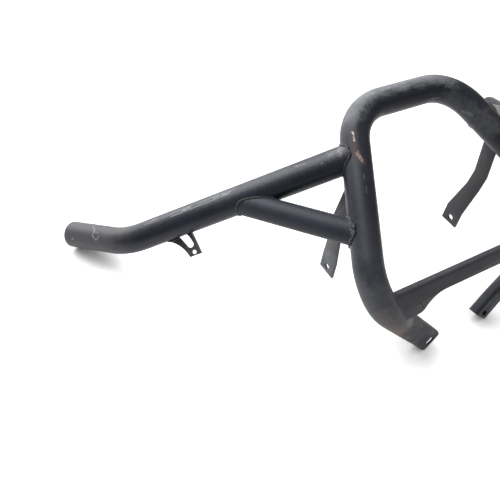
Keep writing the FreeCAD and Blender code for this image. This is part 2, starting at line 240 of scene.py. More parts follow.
@dataclass(frozen=True)
class FilmGrain:
    """The sizes of the paint film's patterns, and where the road grime lies, in millimetres."""

    broad: float = 70.0
    patch: float = 24.0
    mottle: float = 7.0
    scratch: float = 3.4
    speck: float = 1.6
    relief: float = 0.4
    grime_back: float = -70.0
    grime_front: float = -195.0
    toe_low: float = 60.0
    toe_high: float = 150.0


@dataclass(frozen=True)
class FilmTone:
    """How the paint film's patterns show: the values between which each one sets in, and its shares."""

    tone: Span = (0.5, 1.05)
    mottle_share: float = 0.55
    relief_share: float = 1.5
    sheen: Span = (0.2, 0.8)
    smoother: float = 0.06
    rougher: float = 0.08
    scratched: Span = (0.70, 0.80)
    pinholes: Span = (0.56, 0.70)
    caught_dust: Span = (0.36, 0.28)
    lying_dust: Span = (0.25, 0.95)
    haze: float = 0.28
    patchy: Span = (0.3, 0.7)
    thin_grime: float = 0.45
    toe_grime: float = 0.25


@dataclass(frozen=True)
class MarkEdge:
    """How a worn place breaks up and fades into sound paint."""

    nearness: float = 0.55
    starts: float = 0.75
    full: float = 0.98
    cover_shift: float = 0.35
    soft_start: float = 0.3
    soft_full: float = 0.1
    rim: float = 0.35


GRAIN, TONE, EDGE = FilmGrain(), FilmTone(), MarkEdge()


@dataclass(frozen=True)
class SatinPaint:
    """Satin charcoal paint on steel: an even sprayed film, chalked and mottled by handling and weather.

    It gives the eye a soft broad sheen along the tubes, a faint mottle in the tone and a slightly rough skin.
    The finest specks are drawn as coarse as they need to be to show.
    """

    name: str
    dark: str
    light: str
    dusty: str
    roughness: float
    marks: tuple[Mark, ...] = ()
    peel: float = 0.12
    grime: float = 0.0
    scatter: float = 0.5
    pits: float = 0.0
    gloss: float = 0.4

    def build(self) -> bpy.types.Material:
        """Make the material.

        Returns:
            The material, with its worn places.
        """
        material = bpy.data.materials.new(self.name)
        material.use_nodes = True
        tree = material.node_tree
        tree.nodes.clear()
        place = add_node(tree, "ShaderNodeTexCoord").outputs["Object"]
        mottle = self.noise(tree, place, GRAIN.mottle, detail=3.0)
        speck = self.noise(tree, place, GRAIN.speck, detail=2.0)
        colour = self.film(tree, place, mottle)
        colour = self.settled(tree, place, speck, colour)
        smooth, dull = self.roughness - TONE.smoother, self.roughness + TONE.rougher
        rough = self.span(tree, mottle, *TONE.sheen, smooth, dull)
        # fine handling scratches all over, only now and then one that reaches the undercoat
        scratch = self.noise(tree, place, GRAIN.scratch, detail=5.0)
        shown = self.span(tree, scratch, *TONE.scratched, 0.0, self.scatter)
        colour = self.mix(tree, shown, colour, linear(Wear.SCUFF.colour))
        if self.pits:
            # pinholes where the grain is high, dust caught where it is low
            holes = self.span(tree, speck, *TONE.pinholes, 0.0, self.pits)
            colour = self.mix(tree, holes, colour, linear(Wear.PIT.colour))
            caught = self.span(tree, speck, *TONE.caught_dust, 0.0, self.pits)
            colour = self.mix(tree, caught, colour, linear(self.dusty))
        for mark in self.marks:
            mask = self.mask(tree, place, mark)
            colour = self.mix(tree, mask, colour, linear(mark.wear.colour))
            rough = self.blend_value(tree, mask, rough, mark.wear.roughness)
        relief = add_node(
            tree, "ShaderNodeMath", {"operation": "MULTIPLY_ADD"}, {0: mottle, 1: TONE.relief_share, 2: speck}
        )
        bump = add_node(
            tree,
            "ShaderNodeBump",
            {},
            {"Strength": self.peel, "Distance": GRAIN.relief * MM, "Height": relief.outputs[0]},
        )
        shader = add_node(
            tree,
            "ShaderNodeBsdfPrincipled",
            {},
            {
                "Base Color": colour,
                "Roughness": rough,
                "Specular IOR Level": self.gloss,
                "Normal": bump.outputs[0],
            },
        )
        add_node(tree, "ShaderNodeOutputMaterial", {}, {"Surface": shader.outputs[0]})
        return material

    def film(
        self, tree: bpy.types.NodeTree, place: bpy.types.NodeSocket, mottle: bpy.types.NodeSocket
    ) -> bpy.types.NodeSocket:
        """Mix the paint film's colour, a slow change of tone with a fine mottle in it.

        Args:
            tree: The material's node tree.
            place: The object coordinates.
            mottle: The fine mottle.

        Returns:
            The film's colour.
        """
        broad = self.noise(tree, place, GRAIN.broad, detail=4.0)
        blend = add_node(
            tree, "ShaderNodeMath", {"operation": "MULTIPLY_ADD"}, {0: mottle, 1: TONE.mottle_share, 2: broad}
        )
        share = self.span(tree, blend.outputs[0], *TONE.tone)
        return self.mix(tree, share, linear(self.dark), linear(self.light))

    def settled(
        self,
        tree: bpy.types.NodeTree,
        place: bpy.types.NodeSocket,
        speck: bpy.types.NodeSocket,
        colour: bpy.types.NodeSocket,
    ) -> bpy.types.NodeSocket:
        """Lay dust over a colour: a little on what faces up, and road grime that thickens to the front.

        Args:
            tree: The material's node tree.
            place: The object coordinates.
            speck: The fine grain of the dust.
            colour: The colour under the dust.

        Returns:
            The dusty colour.
        """
        normal = add_node(tree, "ShaderNodeNewGeometry").outputs["Normal"]
        up = add_node(tree, "ShaderNodeSeparateXYZ", {}, {0: normal}).outputs[2]
        lying = add_node(
            tree, "ShaderNodeMath", {"operation": "MULTIPLY", "use_clamp": True}, {0: up, 1: speck}
        )
        haze = self.span(tree, lying.outputs[0], *TONE.lying_dust, 0.0, TONE.haze)
        colour = self.mix(tree, haze, colour, linear(self.dusty))
        if not self.grime:
            return colour
        spot = add_node(tree, "ShaderNodeSeparateXYZ", {}, {0: place})
        back, fore = GRAIN.grime_back * MM, GRAIN.grime_front * MM
        front = self.span(tree, spot.outputs[1], back, fore, 0.0, self.grime)
        patches = self.noise(tree, place, GRAIN.patch, detail=5.0)
        patchy = self.span(tree, patches, *TONE.patchy, TONE.thin_grime, 1.0)
        share = add_node(tree, "ShaderNodeMath", {"operation": "MULTIPLY"}, {0: front, 1: patchy})
        # the grime thins out on the toes, which keeps them dark: partly painted shade
        low, high = GRAIN.toe_low * MM, GRAIN.toe_high * MM
        above_toes = self.span(tree, spot.outputs[2], low, high, TONE.toe_grime, 1.0)
        share = add_node(
            tree, "ShaderNodeMath", {"operation": "MULTIPLY"}, {0: share.outputs[0], 1: above_toes}
        )
        return self.mix(tree, share.outputs[0], colour, linear(self.dusty))

    @staticmethod
    def noise(
        tree: bpy.types.NodeTree, place: bpy.types.NodeSocket, size: float, detail: float
    ) -> bpy.types.NodeSocket:
        """Add a cloudy pattern.

        Args:
            tree: The material's node tree.
            place: The object coordinates.
            size: About how large its features are, in millimetres.
            detail: How many finer layers it has.

        Returns:
            The pattern's value.
        """
        node = add_node(
            tree,
            "ShaderNodeTexNoise",
            {},
            {"Vector": place, "Scale": 1 / (size * MM), "Detail": detail, "Roughness": 0.55},
        )
        return node.outputs[0]

    @staticmethod
    def span(
        tree: bpy.types.NodeTree,
        value: bpy.types.NodeSocket,
        low: float,
        high: float,
        first: float = 0.0,
        last: float = 1.0,
    ) -> bpy.types.NodeSocket:
        """Ease a value from one range to another.

        Args:
            tree: The material's node tree.
            value: The value.
            low: Where the first range starts.
            high: Where the first range ends.
            first: Where the second range starts.
            last: Where the second range ends.

        Returns:
            The eased value.
        """
        node = add_node(
            tree,
            "ShaderNodeMapRange",
            {"interpolation_type": "SMOOTHSTEP"},
            {0: value, 1: low, 2: high, 3: first, 4: last},
        )
        return node.outputs[0]

    @staticmethod
    def mix(tree: bpy.types.NodeTree, share: Any, below: Any, above: Any) -> bpy.types.NodeSocket:
        """Lay one colour over another by a share, and return the result."""
        node = add_node(tree, "ShaderNodeMix", {"data_type": "RGBA"}, {0: share, 6: below, 7: above})
        return node.outputs[2]

    @staticmethod
    def blend_value(tree: bpy.types.NodeTree, share: Any, below: Any, above: Any) -> bpy.types.NodeSocket:
        """Blend one number into another by a share, and return the result."""
        node = add_node(tree, "ShaderNodeMix", {"data_type": "FLOAT"}, {0: share, 2: below, 3: above})
        return node.outputs[0]

    def mask(self, tree: bpy.types.NodeTree, place: bpy.types.NodeSocket, mark: Mark) -> bpy.types.NodeSocket:
        """Add the nodes that show one worn place.

        Args:
            tree: The material's node tree.
            place: The object coordinates.
            mark: The worn place.

        Returns:
            The place's strength on the surface, from zero to one.
        """
        start = Vector(mark.start) * MM
        line = Vector(mark.end) * MM - start
        length = max(line.length, MM)
        axis = line.normalized() if line.length > 0 else Vector((1, 0, 0))
        # the nearest point of the line, and how far the surface is from it
        from_start = add_node(tree, "ShaderNodeVectorMath", {"operation": "SUBTRACT"}, {0: place, 1: start})
        along = add_node(
            tree,
            "ShaderNodeVectorMath",
            {"operation": "DOT_PRODUCT"},
            {0: from_start.outputs[0], 1: axis / length},
        )
        held = add_node(tree, "ShaderNodeClamp", {}, {0: along.outputs["Value"]})
        foot = add_node(
            tree, "ShaderNodeVectorMath", {"operation": "SCALE"}, {0: line, "Scale": held.outputs[0]}
        )
        away = add_node(
            tree,
            "ShaderNodeVectorMath",
            {"operation": "DISTANCE"},
            {0: from_start.outputs[0], 1: foot.outputs[0]},
        )
        near = self.span(tree, away.outputs["Value"], 0.0, mark.reach * MM, 1.0, 0.0)
        # a grain drawn out along the line breaks the place up
        turn = axis.to_track_quat("X", "Z").to_euler()
        grain = mark.grain * MM
        grid = add_node(
            tree,
            "ShaderNodeMapping",
            {"vector_type": "TEXTURE"},
            {"Vector": place, "Rotation": turn, "Scale": (grain * mark.stretch, grain, grain)},
        )
        broken = add_node(
            tree,
            "ShaderNodeTexNoise",
            {},
            {"Vector": grid.outputs[0], "Scale": 1.0, "Detail": 4.0, "Roughness": 0.65},
        )
        total = add_node(
            tree,
            "ShaderNodeMath",
            {"operation": "MULTIPLY_ADD"},
            {0: near, 1: EDGE.nearness, 2: broken.outputs[0]},
        )
        lost = EDGE.cover_shift * (1 - mark.cover)
        low = EDGE.starts + lost - EDGE.soft_start * mark.soft
        high = EDGE.full + lost + EDGE.soft_full * mark.soft
        shown = self.span(tree, total.outputs[0], low, high, 0.0, mark.strength)
        edge = self.span(tree, near, 0.0, EDGE.rim)
        return add_node(tree, "ShaderNodeMath", {"operation": "MULTIPLY"}, {0: shown, 1: edge}).outputs[0]


def dress(piece: bpy.types.Object, material: bpy.types.Material) -> None:
    """Give a whole piece one material.

    Args:
        piece: The piece.
        material: Its material.
    """
    if not piece.data.materials:
        piece.data.materials.append(material)
    for slot in piece.material_slots:
        slot.material = material
    LOG.info("%s is finished in %s", piece.name, material.name)


def select_only(*pieces: bpy.types.Object) -> None:
    """Select some objects and nothing else, the last one being active.

    Args:
        pieces: The objects to select.
    """
    bpy.ops.object.select_all(action="DESELECT")
    for piece in pieces:
        piece.select_set(True)
        bpy.context.view_layer.objects.active = piece


def apply_modifier(piece: bpy.types.Object, kind: str, **settings: Any) -> None:
    """Add a modifier to a piece and apply it.

    Args:
        piece: The piece.
        kind: The modifier's type.
        settings: Its settings.
    """
    select_only(piece)
    bpy.ops.object.modifier_add(type=kind)
    modifier = piece.modifiers[-1]
    for name, value in settings.items():
        setattr(modifier, name, value)
    bpy.ops.object.modifier_apply(modifier=modifier.name)


def keep(piece: bpy.types.Object, node: str) -> None:
    """Let a finished piece stand for a CAD node on the bumper.

    Args:
        piece: The finished piece.
        node: The CAD node's name.
    """
    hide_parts(node)
    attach(piece, BODY)
    LOG.info("%s stands for %s", piece.name, node)


def merged_copy(node: str, name: str) -> bpy.types.Object:
    """Copy a node's shape as one closed skin.

    Args:
        node: The CAD node's name.
        name: The copy's name.

    Returns:
        The copy, with its own mesh.
    """
    piece = bpy.data.objects.new(name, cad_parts[node].data.copy())
    bpy.context.scene.collection.objects.link(piece)
    select_only(piece)
    bpy.ops.object.mode_set(mode="EDIT")
    bpy.ops.mesh.select_all(action="SELECT")
    bpy.ops.mesh.remove_doubles(threshold=MERGE_GAP)
    bpy.ops.object.mode_set(mode="OBJECT")
    return piece


@dataclass
class BentTube:
    """The hoop's bent tube, with its pressed toes shaded as one flowing skin."""

    sharp_angle: float = 42.0

    def build(self, node: str, slot: str, material: bpy.types.Material) -> bpy.types.Object:
        """Make the tube from a node's shape.

        Args:
            node: The CAD node's name.
            slot: Not used.
            material: The tube's finish.

        Returns:
            The tube.
        """
        piece = merged_copy(node, node + "_tube")
        if piece.data.has_custom_normals:
            bpy.ops.mesh.customdata_custom_splitnormals_clear()
        bpy.ops.object.shade_smooth_by_angle(angle=math.radians(self.sharp_angle))
        dress(piece, material)
        keep(piece, node)
        return piece


@dataclass
class SheetPieces:
    """The folded and stamped pieces, with their sheared edges broken."""

    edge: float = 0.7
    flat_angle: float = 1.0
    sharp_angle: float = 30.0

    def build(self, node: str, slot: str, material: bpy.types.Material) -> bpy.types.Object:
        """Make a piece from a node's shape, with rounded edges.

        Args:
            node: The CAD node's name.
            slot: Not used.
            material: The piece's finish.

        Returns:
            The piece.
        """
        piece = merged_copy(node, node + "_sheet")
        bpy.ops.object.mode_set(mode="EDIT")
        bpy.ops.mesh.select_all(action="SELECT")
        bpy.ops.mesh.dissolve_limited(angle_limit=math.radians(self.flat_angle))
        bpy.ops.object.mode_set(mode="OBJECT")
        apply_modifier(
            piece,
            "BEVEL",
            width=self.edge * MM,
            segments=2,
            limit_method="ANGLE",
            angle_limit=math.radians(self.sharp_angle),
        )
        select_only(piece)
        bpy.ops.object.shade_smooth_by_angle(angle=math.radians(self.sharp_angle))
        dress(piece, material)
        keep(piece, node)
        return piece


@dataclass(frozen=True)
class Drop:
    """One drop of weld metal in millimetres, and how a row of them runs together."""

    length: float
    width: float
    height: float
    step: float
    unevenness: float
    passes: int
    sink: float = 0.0


STITCHED_BEAD = Drop(length=4.6, width=5.2, height=4.2, step=3.2, unevenness=0.16, passes=2)
LUMPY_BEAD = Drop(length=6.0, width=7.5, height=6.0, step=3.6, unevenness=0.28, passes=1)
DRESSED_BEAD = Drop(length=8.0, width=4.2, height=3.6, step=1.4, unevenness=0.03, passes=8, sink=1.1)


@dataclass
class WeldBeads:
    """The weld runs, each a row of overlapping drops along a joint."""

    grain: float = 0.75
    lump_grain: float = 0.5
    lump_size: float = 3.2
    lump_height: float = 1.2
    lump_passes: int = 2

    @staticmethod
    def joint(
        root: Vector, run: Vector, outline: Iterable[Vector], other: Vector, radius: float, start: float
    ) -> list[Vector]:
        """Find where a bar's outline meets the round tube that it is welded to.

        Args:
            root: Where the bar's axis meets the tube's axis.
            run: The bar's direction away from the tube.
            outline: The bar's outline round its axis, as offsets.
            other: The tube's direction.
            radius: The tube's radius.
            start: The bar's nearest distance to the tube's axis along its run.

        Returns:
            The points of the joint, in order.
        """
        points = []
        along = run - other * run.dot(other)
        for offset in outline:
            flat = offset - other * offset.dot(other)
            middle = along.dot(flat)
            beyond = along.length_squared * (flat.length_squared - radius * radius)
            inside = max(0.0, middle * middle - beyond)
            reach = (math.sqrt(inside) - middle) / along.length_squared
            points.append(root + offset + run * max(reach, start))
        return points

    @staticmethod
    def ring(run: Vector, radius: float, count: int = 96) -> list[Vector]:
        """Find the outline of a round tube.

        Args:
            run: The tube's direction.
            radius: The tube's radius.
            count: How many points go round it.

        Returns:
            The outline as offsets from the tube's axis.
        """
        first = run.orthogonal().normalized()
        second = run.cross(first)
        turns = [2 * math.pi * i / count for i in range(count + 1)]
        return [first * (radius * math.cos(t)) + second * (radius * math.sin(t)) for t in turns]

    @staticmethod
    def bar(rise: Vector, side: Vector, width: float, thickness: float, count: int = 12) -> list[Vector]:
        """Find the outline of a flat bar.

        Args:
            rise: The direction of the bar's width.
            side: The direction of its thickness.
            width: The bar's width.
            thickness: The bar's thickness.
            count: How many points each face has.

        Returns:
            The outline as offsets from the bar's axis.
        """
        corners = [(1, 1), (1, -1), (-1, -1), (-1, 1), (1, 1)]
        outline = []
        for (a, b), (c, d) in zip(corners, corners[1:]):
            for i in range(count):
                share = i / count
                up = (a + (c - a) * share) * width / 2
                out = (b + (d - b) * share) * thickness / 2
                outline.append(rise * up + side * out)
        return outline + outline[:1]

    @staticmethod
    def spaced(points: list[Vector], pitch: float) -> list[tuple[Vector, Vector]]:
        """Find evenly spaced places along a path.

        Args:
            points: The path's points.
            pitch: The distance between the places, in metres.

        Returns:
            Each place with the path's direction there.
        """
        places = []
        left = 0.0
        for first, second in zip(points, points[1:]):
            step = second - first
            while left < step.length:
                places.append((first + step.normalized() * left, step.normalized()))
                left += pitch
            left -= step.length
        return places

    @staticmethod
    def centre_line(node: str, count: int = 7) -> list[Vector]:
        """Find the middle of a long bead.

        Args:
            node: The CAD bead's name.
            count: How many points the line has.

        Returns:
            The line's points as it rests, in metres.
        """
        points = [vertex.co.copy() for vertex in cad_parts[node].data.vertices]
        first = max(points, key=lambda point: (point - points[0]).length)
        last = max(points, key=lambda point: (point - first).length)
        axis = last - first
        line = []
        for i in range(count):
            low, high = i / count, (i + 1) / count
            inside = [p for p in points if low <= (p - first).dot(axis) / axis.length_squared <= high]
            if inside:
                line.append(sum(inside, Vector()) / len(inside))
        return line

    def build(
        self,
        node: str,
        path: list[Vector],
        axis: Vector,
        kind: Drop,
        seed: int,
        material: bpy.types.Material,
    ) -> bpy.types.Object:
        """Lay a bead along a joint.

        Args:
            node: The CAD bead's name.
            path: The joint's path as it rests, in metres.
            axis: The direction that the drops' width is measured from.
            kind: The drops it is made of.
            seed: The seed of the drops' unevenness.
            material: The bead's finish.

        Returns:
            The bead.
        """
        draw = random.Random(seed)
        bpy.ops.object.select_all(action="DESELECT")
        bpy.ops.mesh.primitive_ico_sphere_add(subdivisions=2, radius=0.5, location=(0, 0, 0))
        drop = bpy.context.active_object
        bpy.ops.object.mode_set(mode="EDIT")
        bpy.ops.mesh.select_all(action="SELECT")
        bpy.ops.transform.resize(value=Vector((kind.length, kind.width, kind.height)) * MM)
        bpy.ops.object.mode_set(mode="OBJECT")
        drops = []
        for spot, heading in self.spaced(path, kind.step * MM):
            copy = bpy.data.objects.new("drop", drop.data.copy())
            bpy.context.scene.collection.objects.link(copy)
            scale = 1 + draw.uniform(-kind.unevenness, kind.unevenness)
            across = axis.cross(heading).normalized()
            turned = Matrix((heading, across, heading.cross(across))).transposed().to_4x4()
            copy.matrix_world = Matrix.Translation(spot) @ turned @ Matrix.Scale(scale, 4)
            drops.append(copy)
        select_only(*drops)
        bpy.ops.object.join()
        bead = bpy.context.active_object
        bpy.ops.object.transform_apply(location=True, rotation=True, scale=True)
        bpy.data.objects.remove(drop)
        bead.name = node + "_run"
        apply_modifier(bead, "REMESH", mode="VOXEL", voxel_size=self.grain * MM)
        apply_modifier(bead, "SMOOTH", factor=SMOOTH_SHARE, iterations=kind.passes)
        select_only(bead)
        bpy.ops.object.shade_smooth()
        dress(bead, material)
        return bead

    def uneven(self, node: str, material: bpy.types.Material) -> bpy.types.Object:
        """Make a short bead from a node's own shape, with a lumpy surface.

        Args:
            node: The CAD bead's name.
            material: The bead's finish.

        Returns:
            The bead.
        """
        bead = merged_copy(node, node + "_run")
        apply_modifier(bead, "REMESH", mode="VOXEL", voxel_size=self.lump_grain * MM)
        lumps = bpy.data.textures.new(node + "_lumps", "CLOUDS")
        lumps.noise_scale = self.lump_size * MM
        apply_modifier(
            bead,
            "DISPLACE",
            texture=lumps,
            texture_coords="LOCAL",
            strength=self.lump_height * MM,
            mid_level=0.0,
        )
        apply_modifier(bead, "SMOOTH", factor=SMOOTH_SHARE, iterations=self.lump_passes)
        select_only(bead)
        bpy.ops.object.shade_smooth()
        dress(bead, material)
        return bead

    @staticmethod
    def twin(bead: bpy.types.Object, name: str) -> bpy.types.Object:
        """Mirror a right-hand bead.

        Args:
            bead: The right-hand bead.
            name: The left-hand bead's name.

        Returns:
            The left-hand bead, with its own mesh.
        """
        copy = bpy.data.objects.new(name, bead.data.copy())
        bpy.context.scene.collection.objects.link(copy)
        select_only(copy)
        bpy.ops.object.mode_set(mode="EDIT")
        bpy.ops.mesh.select_all(action="SELECT")
        bpy.ops.transform.mirror(
            constraint_axis=(True, False, False), orient_type="GLOBAL", center_override=(0, 0, 0)
        )
        bpy.ops.mesh.normals_make_consistent(inside=False)
        bpy.ops.object.mode_set(mode="OBJECT")
        return copy


@dataclass(frozen=True)
class Lamp:
    """One soft disc lamp that points at the bumper."""

    name: str
    spot: Point
    size: float
    power: float


@dataclass(frozen=True)
class Studio:
    """The plain pale floor, the soft lights and the camera."""

    floor_size: float = 30.0
    floor_colour: str = "#e8e8e8"
    floor_lift: float = 0.68
    contact: float = 2.2
    shadow_reach: float = 0.04
    surround: float = 0.24
    eye: Point = (-0.6111, -0.4310, 0.7897)
    right: Point = (0.8715, -0.47764, 0.11093)
    up: Point = (0.3178, 0.72234, 0.61418)
    lens: float = 39.6
    sensor: float = 36.0
    clip_start: float = 0.01
    lamps: tuple[Lamp, ...] = (
        Lamp("high_back_softbox", (-0.6, 1.3, 2.0), 2.2, 56.0),
        Lamp("low_back_panel", (-0.9, 2.5, 0.8), 2.4, 52.0),
        Lamp("overhead_softbox", (-0.9, 0.0, 2.4), 1.6, 5.0),
    )

    def camera(self) -> None:
        """Set the camera at the photograph's viewing angle."""
        data = bpy.data.cameras.new("camera")
        data.lens = self.lens
        data.sensor_fit = "HORIZONTAL"
        data.sensor_width = self.sensor
        data.clip_start = self.clip_start
        camera = bpy.data.objects.new("camera", data)
        bpy.context.scene.collection.objects.link(camera)
        right = Vector(self.right).normalized()
        up = (Vector(self.up) - right * right.dot(Vector(self.up))).normalized()
        axes = Matrix((right, up, right.cross(up))).transposed().to_4x4()
        camera.matrix_world = Matrix.Translation(Vector(self.eye)) @ axes
        bpy.context.scene.camera = camera

    def floor(self) -> None:
        """Lay the floor, white to the eye and to gloss, with the object's shadow kept."""
        bpy.ops.object.select_all(action="DESELECT")
        bpy.ops.mesh.primitive_plane_add(size=self.floor_size, location=(0, 0, 0))
        floor = bpy.context.active_object
        floor.name = "floor"
        material = bpy.data.materials.new("pale_floor")
        material.use_nodes = True
        tree = material.node_tree
        tree.nodes.clear()
        path = add_node(tree, "ShaderNodeLightPath")
        seen = path.outputs["Is Camera Ray"]
        for kind in ("Is Glossy Ray", "Is Transmission Ray"):
            either = add_node(
                tree, "ShaderNodeMath", {"operation": "MAXIMUM"}, {0: seen, 1: path.outputs[kind]}
            )
            seen = either.outputs[0]
        lift = add_node(tree, "ShaderNodeMath", {"operation": "MULTIPLY"}, {0: seen, 1: self.floor_lift})
        # the lift fades out close to what stands on the floor, which leaves a contact shadow
        near = add_node(tree, "ShaderNodeAmbientOcclusion", {"samples": 8}, {"Distance": self.shadow_reach})
        open_air = add_node(
            tree, "ShaderNodeMath", {"operation": "POWER"}, {0: near.outputs["AO"], 1: self.contact}
        )
        lift = add_node(
            tree, "ShaderNodeMath", {"operation": "MULTIPLY"}, {0: lift.outputs[0], 1: open_air.outputs[0]}
        )
        pale = add_node(tree, "ShaderNodeBsdfDiffuse", {}, {"Color": linear(self.floor_colour)})
        glow = add_node(tree, "ShaderNodeEmission", {}, {"Color": WHITE, "Strength": lift.outputs[0]})
        both = add_node(tree, "ShaderNodeAddShader", {}, {0: pale.outputs[0], 1: glow.outputs[0]})
        add_node(tree, "ShaderNodeOutputMaterial", {}, {"Surface": both.outputs[0]})
        dress(floor, material)

    def lights(self) -> None:
        """Hang the soft lamps and the pale surround."""
        for lamp in self.lamps:
            data = bpy.data.lights.new(lamp.name, "AREA")
            data.shape = "DISK"
            data.size = lamp.size
            data.energy = lamp.power
            hung = bpy.data.objects.new(lamp.name, data)
            bpy.context.scene.collection.objects.link(hung)
            hung.location = lamp.spot
            hung.rotation_euler = (-Vector(lamp.spot)).to_track_quat("-Z", "Y").to_euler()
            hung.visible_camera = False
        world = bpy.data.worlds.new("pale_surround")
        bpy.context.scene.world = world
        world.use_nodes = True
        tree = world.node_tree
        tree.nodes.clear()
        sky = add_node(tree, "ShaderNodeBackground", {}, {"Color": WHITE, "Strength": self.surround})
        add_node(tree, "ShaderNodeOutputWorld", {}, {"Surface": sky.outputs[0]})
        bpy.context.scene.view_settings.view_transform = "Standard"


# painted sheen with dust along the top run, chipped and rusty at the left wing, dirty on the left knee,
# painted shade at the toes
HOOP_MARKS = (
    # painted highlight with dust: these four light bands along the top run and its bends stand in for the
    # back light's sheen
    Mark(Wear.DUST, (-112, 52, 294), (-84, 68, 304), 34, cover=0.9, strength=0.72, grain=9, soft=1.0),
    Mark(
        Wear.DUST, (-84, 72, 307), (74, 70, 308), 28, cover=1.0, strength=0.95, grain=7, stretch=3, soft=1.0
    ),
    Mark(Wear.DUST, (48, 66, 308), (84, 50, 302), 23, cover=0.75, strength=0.7, grain=6, soft=0.6),
    Mark(
        Wear.SCUFF, (-92, 76, 304), (58, 77, 304.5), 15,
        cover=1.0, strength=0.42, grain=7, stretch=3, soft=1.0,
    ),
    # a soft lighter band along the lower front of the top run
    Mark(Wear.DIRT, (-75, 48.7, 271.7), (62, 48.7, 271.7), 17, cover=1.0, strength=0.3, grain=12, soft=1.0),
    Mark(Wear.SCUFF, (-82, 63, 305), (-63, 65, 308.5), 8, cover=0.5, grain=3, stretch=2),
    Mark(Wear.SCUFF, (-50, 66, 309.2), (-32, 67, 309.3), 8, cover=0.5, grain=3, stretch=2),
    Mark(Wear.SCUFF, (-22, 68.7, 309), (0, 69.3, 309), 8, cover=0.5, grain=3, stretch=2),
    Mark(Wear.SCUFF, (39, 68.4, 309), (53, 65, 309.2), 7, cover=0.5, grain=3, stretch=2),
    Mark(Wear.SCUFF, (47, 42.2, 285.7), (60.6, 40.3, 285), 4, cover=0.55, grain=2),
    Mark(Wear.SCUFF, (63, 40.8, 293), (63.8, 40.8, 293), 1.8),
    Mark(Wear.SCUFF, (68, 44.5, 300.7), (68.6, 44.5, 300.7), 1.8),
    Mark(Wear.DUST, (96, 15.5, 267), (104, 0.3, 268), 10, cover=0.5, grain=2),
    Mark(Wear.DUST, (80, 34, 288), (121, -32, 260), 30, cover=0.8, strength=0.3, grain=9, soft=0.8),
    Mark(Wear.RUST, (124, -8, 279), (146, -12, 270), 16, cover=0.6, strength=0.55, grain=4, soft=0.5),
    Mark(Wear.RUST, (-131, 15, 286), (-140, -4, 278), 13, cover=0.6, strength=0.6, grain=4, soft=0.5),
    Mark(Wear.BARE, (-129.4, 19.5, 287.6), (-134, 7.5, 283.2), 6, cover=0.55, grain=3),
    Mark(
        Wear.RUST, (-139.5, -8, 276.8), (-138.3, -26, 272.6), 13,
        cover=0.65, strength=0.8, grain=4, soft=0.4,
    ),
    Mark(Wear.PALE_RUST, (-139.5, -11, 276.4), (-138.5, -23, 273.2), 10.5, cover=0.58, grain=2.4),
    Mark(Wear.SCUFF, (-146, -41, 265.6), (-148, -47, 263), 2.2, cover=0.6, strength=0.5, grain=1.5),
    Mark(Wear.SCUFF, (-152, -58, 258.6), (-155, -66, 255.4), 2.2, cover=0.6, strength=0.5, grain=1.5),
    Mark(Wear.DUST, (-184, -76, 228), (-196, -104, 223), 9, cover=0.5, grain=1.8),
    Mark(Wear.PIT, (-184, -76, 228), (-196, -104, 223), 8, cover=0.5, grain=1.8),
    Mark(Wear.DUST, (-206, -190, 182), (-160, -215, 140), 52, cover=1.0, strength=0.34, grain=14, soft=1.0),
    *trail(
        Wear.DIRT,
        ((-196, -206, 161), (-168.4, -219.7, 125.1), (-157.7, -221.9, 108.9), (-124, -221.8, 66)),
        24,
        cover=0.9,
        strength=0.62,
        grain=8,
        soft=0.9,
    ),
    Mark(
        Wear.PALE_RUST, (-158, -222, 109), (-127, -222, 70), 13, cover=0.6, strength=0.4, grain=6, soft=0.8
    ),
    Mark(Wear.SCUFF, (-131, -227, 104), (-130, -227, 100), 4.5, cover=0.5, grain=2),
    # both toes are darkened as painted shade, standing in for the floor reflection that they don't catch
    *(
        Mark(
            Wear.PIT,
            (side.value * 60, -219, 19),
            (side.value * 126, -221, 98),
            36,
            cover=1.0,
            strength=0.45,
            grain=14,
            soft=1.0,
        )
        for side in Side
    ),
    Mark(Wear.PIT, (-117, -222, 81), (-119, -222, 83), 2.8),
    Mark(Wear.SCUFF, (-115.5, -222.2, 80), (-116, -222.2, 80.5), 1.4, strength=0.6),
    Mark(Wear.SCUFF, (75, -227.4, 26), (86, -222.7, 43.8), 3.2, cover=0.6, grain=1.5, stretch=4),
)

